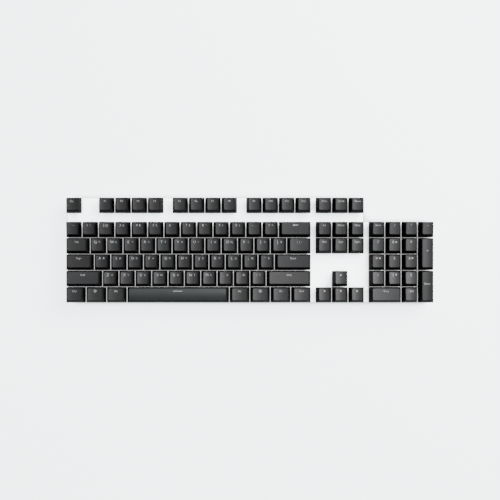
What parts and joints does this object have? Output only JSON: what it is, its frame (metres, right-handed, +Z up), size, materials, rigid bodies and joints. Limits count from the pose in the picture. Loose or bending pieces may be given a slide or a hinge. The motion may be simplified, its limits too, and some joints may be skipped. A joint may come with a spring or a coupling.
{
  "type": "mechanical keyboard",
  "caption": "Full-size mechanical keyboard: tapered, dished keycaps on sprung switches over a bezel-less deck with a number pad, a shallow tray, rubber feet and fold-out tilt legs.",
  "frame": {"origin": "on the desk, under the middle of the keyboard: bottom centre of the bounding box", "axes": "+X to the typist's right, towards the number pad; +Y away from the typist, towards the function row; +Z up"},
  "size_m": [0.4278, 0.1224, 0.0323],
  "materials": {
    "keycap": "satin, finely textured",
    "legend": "flat print",
    "plate": "matt powder coat",
    "tray": "fine matt texture",
    "board": "solder mask",
    "housing": "smooth",
    "rubber": "matt",
    "steel": "plated"
  },
  "bodies": {
    "base": {"base_tray": "tray", "circuit_board": "board", "cable_socket": "steel", "switch_plate": "plate", "switch_housings_function": "housing", "switch_housings_main": "housing", "switch_housings_navigation": "housing", "switch_housings_number_pad": "housing", "foot_front_left": "rubber", "foot_front_right": "rubber", "foot_rear_left": "rubber", "foot_rear_right": "rubber", "screw_front_left": "steel", "screw_front_right": "steel", "screw_rear_left": "steel", "screw_rear_right": "steel"},
    "tilt_leg_left": {"tilt_leg_left": "tray"},
    "tilt_leg_right": {"tilt_leg_right": "tray"},
    "key_escape": {"key_escape": "keycap"},
    "keys_f1_to_f4": {"keys_f1_to_f4": "keycap"},
    "keys_f5_to_f8": {"keys_f5_to_f8": "keycap"},
    "keys_f9_to_f12": {"keys_f9_to_f12": "keycap"},
    "keys_print_to_pause": {"keys_print_to_pause": "keycap"},
    "keys_grave_to_6": {"keys_grave_to_6": "keycap"},
    "keys_7_to_equals": {"keys_7_to_equals": "keycap"},
    "key_backspace": {"key_backspace": "keycap"},
    "keys_insert_to_page_up": {"keys_insert_to_page_up": "keycap"},
    "keys_num_lock_to_minus": {"keys_num_lock_to_minus": "keycap"},
    "key_tab": {"key_tab": "keycap"},
    "keys_q_to_t": {"keys_q_to_t": "keycap"},
    "keys_y_to_bracket": {"keys_y_to_bracket": "keycap"},
    "key_backslash": {"key_backslash": "keycap"},
    "keys_delete_to_page_down": {"keys_delete_to_page_down": "keycap"},
    "keys_num_7_to_9": {"keys_num_7_to_9": "keycap"},
    "key_num_plus": {"key_num_plus": "keycap"},
    "key_caps_lock": {"key_caps_lock": "keycap"},
    "keys_a_to_g": {"keys_a_to_g": "keycap"},
    "keys_h_to_quote": {"keys_h_to_quote": "keycap"},
    "key_enter": {"key_enter": "keycap"},
    "keys_num_4_to_6": {"keys_num_4_to_6": "keycap"},
    "key_left_shift": {"key_left_shift": "keycap"},
    "keys_z_to_b": {"keys_z_to_b": "keycap"},
    "keys_n_to_slash": {"keys_n_to_slash": "keycap"},
    "key_right_shift": {"key_right_shift": "keycap"},
    "key_up": {"key_up": "keycap"},
    "keys_num_1_to_3": {"keys_num_1_to_3": "keycap"},
    "key_num_enter": {"key_num_enter": "keycap"},
    "key_left_ctrl": {"key_left_ctrl": "keycap"},
    "key_left_super": {"key_left_super": "keycap"},
    "key_left_alt": {"key_left_alt": "keycap"},
    "key_space": {"key_space": "keycap"},
    "key_right_alt": {"key_right_alt": "keycap"},
    "key_right_super": {"key_right_super": "keycap"},
    "key_menu": {"key_menu": "keycap"},
    "key_right_ctrl": {"key_right_ctrl": "keycap"},
    "key_left": {"key_left": "keycap"},
    "key_down": {"key_down": "keycap"},
    "key_right": {"key_right": "keycap"},
    "key_num_0": {"key_num_0": "keycap"},
    "key_num_decimal": {"key_num_decimal": "keycap"}
  },
  "joints": [
    {"name": "tilt_leg_left_pivot", "type": "hinge", "parent": "base", "child": "tilt_leg_left", "pos_m": [-0.165, 0.0542, 0.0034], "axis": [1, 0, 0], "range_deg": [0, 90]},
    {"name": "tilt_leg_right_pivot", "type": "hinge", "parent": "base", "child": "tilt_leg_right", "pos_m": [0.112, 0.0542, 0.0034], "axis": [1, 0, 0], "range_deg": [0, 90]},
    {"name": "key_escape_travel", "type": "slide", "parent": "base", "child": "key_escape", "axis": [0, 0, -1], "range_m": [0, 0.004], "stiffness_N_per_m": 120, "springref_m": -0.0025},
    {"name": "keys_f1_to_f4_travel", "type": "slide", "parent": "base", "child": "keys_f1_to_f4", "axis": [0, 0, -1], "range_m": [0, 0.004], "stiffness_N_per_m": 480, "springref_m": -0.0025},
    {"name": "keys_f5_to_f8_travel", "type": "slide", "parent": "base", "child": "keys_f5_to_f8", "axis": [0, 0, -1], "range_m": [0, 0.004], "stiffness_N_per_m": 480, "springref_m": -0.0025},
    {"name": "keys_f9_to_f12_travel", "type": "slide", "parent": "base", "child": "keys_f9_to_f12", "axis": [0, 0, -1], "range_m": [0, 0.004], "stiffness_N_per_m": 480, "springref_m": -0.0025},
    {"name": "keys_print_to_pause_travel", "type": "slide", "parent": "base", "child": "keys_print_to_pause", "axis": [0, 0, -1], "range_m": [0, 0.004], "stiffness_N_per_m": 360, "springref_m": -0.0025},
    {"name": "keys_grave_to_6_travel", "type": "slide", "parent": "base", "child": "keys_grave_to_6", "axis": [0, 0, -1], "range_m": [0, 0.004], "stiffness_N_per_m": 840, "springref_m": -0.0025},
    {"name": "keys_7_to_equals_travel", "type": "slide", "parent": "base", "child": "keys_7_to_equals", "axis": [0, 0, -1], "range_m": [0, 0.004], "stiffness_N_per_m": 720, "springref_m": -0.0025},
    {"name": "key_backspace_travel", "type": "slide", "parent": "base", "child": "key_backspace", "axis": [0, 0, -1], "range_m": [0, 0.004], "stiffness_N_per_m": 120, "springref_m": -0.0025},
    {"name": "keys_insert_to_page_up_travel", "type": "slide", "parent": "base", "child": "keys_insert_to_page_up", "axis": [0, 0, -1], "range_m": [0, 0.004], "stiffness_N_per_m": 360, "springref_m": -0.0025},
    {"name": "keys_num_lock_to_minus_travel", "type": "slide", "parent": "base", "child": "keys_num_lock_to_minus", "axis": [0, 0, -1], "range_m": [0, 0.004], "stiffness_N_per_m": 480, "springref_m": -0.0025},
    {"name": "key_tab_travel", "type": "slide", "parent": "base", "child": "key_tab", "axis": [0, 0, -1], "range_m": [0, 0.004], "stiffness_N_per_m": 120, "springref_m": -0.0025},
    {"name": "keys_q_to_t_travel", "type": "slide", "parent": "base", "child": "keys_q_to_t", "axis": [0, 0, -1], "range_m": [0, 0.004], "stiffness_N_per_m": 600, "springref_m": -0.0025},
    {"name": "keys_y_to_bracket_travel", "type": "slide", "parent": "base", "child": "keys_y_to_bracket", "axis": [0, 0, -1], "range_m": [0, 0.004], "stiffness_N_per_m": 840, "springref_m": -0.0025},
    {"name": "key_backslash_travel", "type": "slide", "parent": "base", "child": "key_backslash", "axis": [0, 0, -1], "range_m": [0, 0.004], "stiffness_N_per_m": 120, "springref_m": -0.0025},
    {"name": "keys_delete_to_page_down_travel", "type": "slide", "parent": "base", "child": "keys_delete_to_page_down", "axis": [0, 0, -1], "range_m": [0, 0.004], "stiffness_N_per_m": 360, "springref_m": -0.0025},
    {"name": "keys_num_7_to_9_travel", "type": "slide", "parent": "base", "child": "keys_num_7_to_9", "axis": [0, 0, -1], "range_m": [0, 0.004], "stiffness_N_per_m": 360, "springref_m": -0.0025},
    {"name": "key_num_plus_travel", "type": "slide", "parent": "base", "child": "key_num_plus", "axis": [0, 0, -1], "range_m": [0, 0.004], "stiffness_N_per_m": 120, "springref_m": -0.0025},
    {"name": "key_caps_lock_travel", "type": "slide", "parent": "base", "child": "key_caps_lock", "axis": [0, 0, -1], "range_m": [0, 0.004], "stiffness_N_per_m": 120, "springref_m": -0.0025},
    {"name": "keys_a_to_g_travel", "type": "slide", "parent": "base", "child": "keys_a_to_g", "axis": [0, 0, -1], "range_m": [0, 0.004], "stiffness_N_per_m": 600, "springref_m": -0.0025},
    {"name": "keys_h_to_quote_travel", "type": "slide", "parent": "base", "child": "keys_h_to_quote", "axis": [0, 0, -1], "range_m": [0, 0.004], "stiffness_N_per_m": 720, "springref_m": -0.0025},
    {"name": "key_enter_travel", "type": "slide", "parent": "base", "child": "key_enter", "axis": [0, 0, -1], "range_m": [0, 0.004], "stiffness_N_per_m": 120, "springref_m": -0.0025},
    {"name": "keys_num_4_to_6_travel", "type": "slide", "parent": "base", "child": "keys_num_4_to_6", "axis": [0, 0, -1], "range_m": [0, 0.004], "stiffness_N_per_m": 360, "springref_m": -0.0025},
    {"name": "key_left_shift_travel", "type": "slide", "parent": "base", "child": "key_left_shift", "axis": [0, 0, -1], "range_m": [0, 0.004], "stiffness_N_per_m": 120, "springref_m": -0.0025},
    {"name": "keys_z_to_b_travel", "type": "slide", "parent": "base", "child": "keys_z_to_b", "axis": [0, 0, -1], "range_m": [0, 0.004], "stiffness_N_per_m": 600, "springref_m": -0.0025},
    {"name": "keys_n_to_slash_travel", "type": "slide", "parent": "base", "child": "keys_n_to_slash", "axis": [0, 0, -1], "range_m": [0, 0.004], "stiffness_N_per_m": 600, "springref_m": -0.0025},
    {"name": "key_right_shift_travel", "type": "slide", "parent": "base", "child": "key_right_shift", "axis": [0, 0, -1], "range_m": [0, 0.004], "stiffness_N_per_m": 120, "springref_m": -0.0025},
    {"name": "key_up_travel", "type": "slide", "parent": "base", "child": "key_up", "axis": [0, 0, -1], "range_m": [0, 0.004], "stiffness_N_per_m": 120, "springref_m": -0.0025},
    {"name": "keys_num_1_to_3_travel", "type": "slide", "parent": "base", "child": "keys_num_1_to_3", "axis": [0, 0, -1], "range_m": [0, 0.004], "stiffness_N_per_m": 360, "springref_m": -0.0025},
    {"name": "key_num_enter_travel", "type": "slide", "parent": "base", "child": "key_num_enter", "axis": [0, 0, -1], "range_m": [0, 0.004], "stiffness_N_per_m": 120, "springref_m": -0.0025},
    {"name": "key_left_ctrl_travel", "type": "slide", "parent": "base", "child": "key_left_ctrl", "axis": [0, 0, -1], "range_m": [0, 0.004], "stiffness_N_per_m": 120, "springref_m": -0.0025},
    {"name": "key_left_super_travel", "type": "slide", "parent": "base", "child": "key_left_super", "axis": [0, 0, -1], "range_m": [0, 0.004], "stiffness_N_per_m": 120, "springref_m": -0.0025},
    {"name": "key_left_alt_travel", "type": "slide", "parent": "base", "child": "key_left_alt", "axis": [0, 0, -1], "range_m": [0, 0.004], "stiffness_N_per_m": 120, "springref_m": -0.0025},
    {"name": "key_space_travel", "type": "slide", "parent": "base", "child": "key_space", "axis": [0, 0, -1], "range_m": [0, 0.004], "stiffness_N_per_m": 120, "springref_m": -0.0025},
    {"name": "key_right_alt_travel", "type": "slide", "parent": "base", "child": "key_right_alt", "axis": [0, 0, -1], "range_m": [0, 0.004], "stiffness_N_per_m": 120, "springref_m": -0.0025},
    {"name": "key_right_super_travel", "type": "slide", "parent": "base", "child": "key_right_super", "axis": [0, 0, -1], "range_m": [0, 0.004], "stiffness_N_per_m": 120, "springref_m": -0.0025},
    {"name": "key_menu_travel", "type": "slide", "parent": "base", "child": "key_menu", "axis": [0, 0, -1], "range_m": [0, 0.004], "stiffness_N_per_m": 120, "springref_m": -0.0025},
    {"name": "key_right_ctrl_travel", "type": "slide", "parent": "base", "child": "key_right_ctrl", "axis": [0, 0, -1], "range_m": [0, 0.004], "stiffness_N_per_m": 120, "springref_m": -0.0025},
    {"name": "key_left_travel", "type": "slide", "parent": "base", "child": "key_left", "axis": [0, 0, -1], "range_m": [0, 0.004], "stiffness_N_per_m": 120, "springref_m": -0.0025},
    {"name": "key_down_travel", "type": "slide", "parent": "base", "child": "key_down", "axis": [0, 0, -1], "range_m": [0, 0.004], "stiffness_N_per_m": 120, "springref_m": -0.0025},
    {"name": "key_right_travel", "type": "slide", "parent": "base", "child": "key_right", "axis": [0, 0, -1], "range_m": [0, 0.004], "stiffness_N_per_m": 120, "springref_m": -0.0025},
    {"name": "key_num_0_travel", "type": "slide", "parent": "base", "child": "key_num_0", "axis": [0, 0, -1], "range_m": [0, 0.004], "stiffness_N_per_m": 120, "springref_m": -0.0025},
    {"name": "key_num_decimal_travel", "type": "slide", "parent": "base", "child": "key_num_decimal", "axis": [0, 0, -1], "range_m": [0, 0.004], "stiffness_N_per_m": 120, "springref_m": -0.0025}
  ]
}
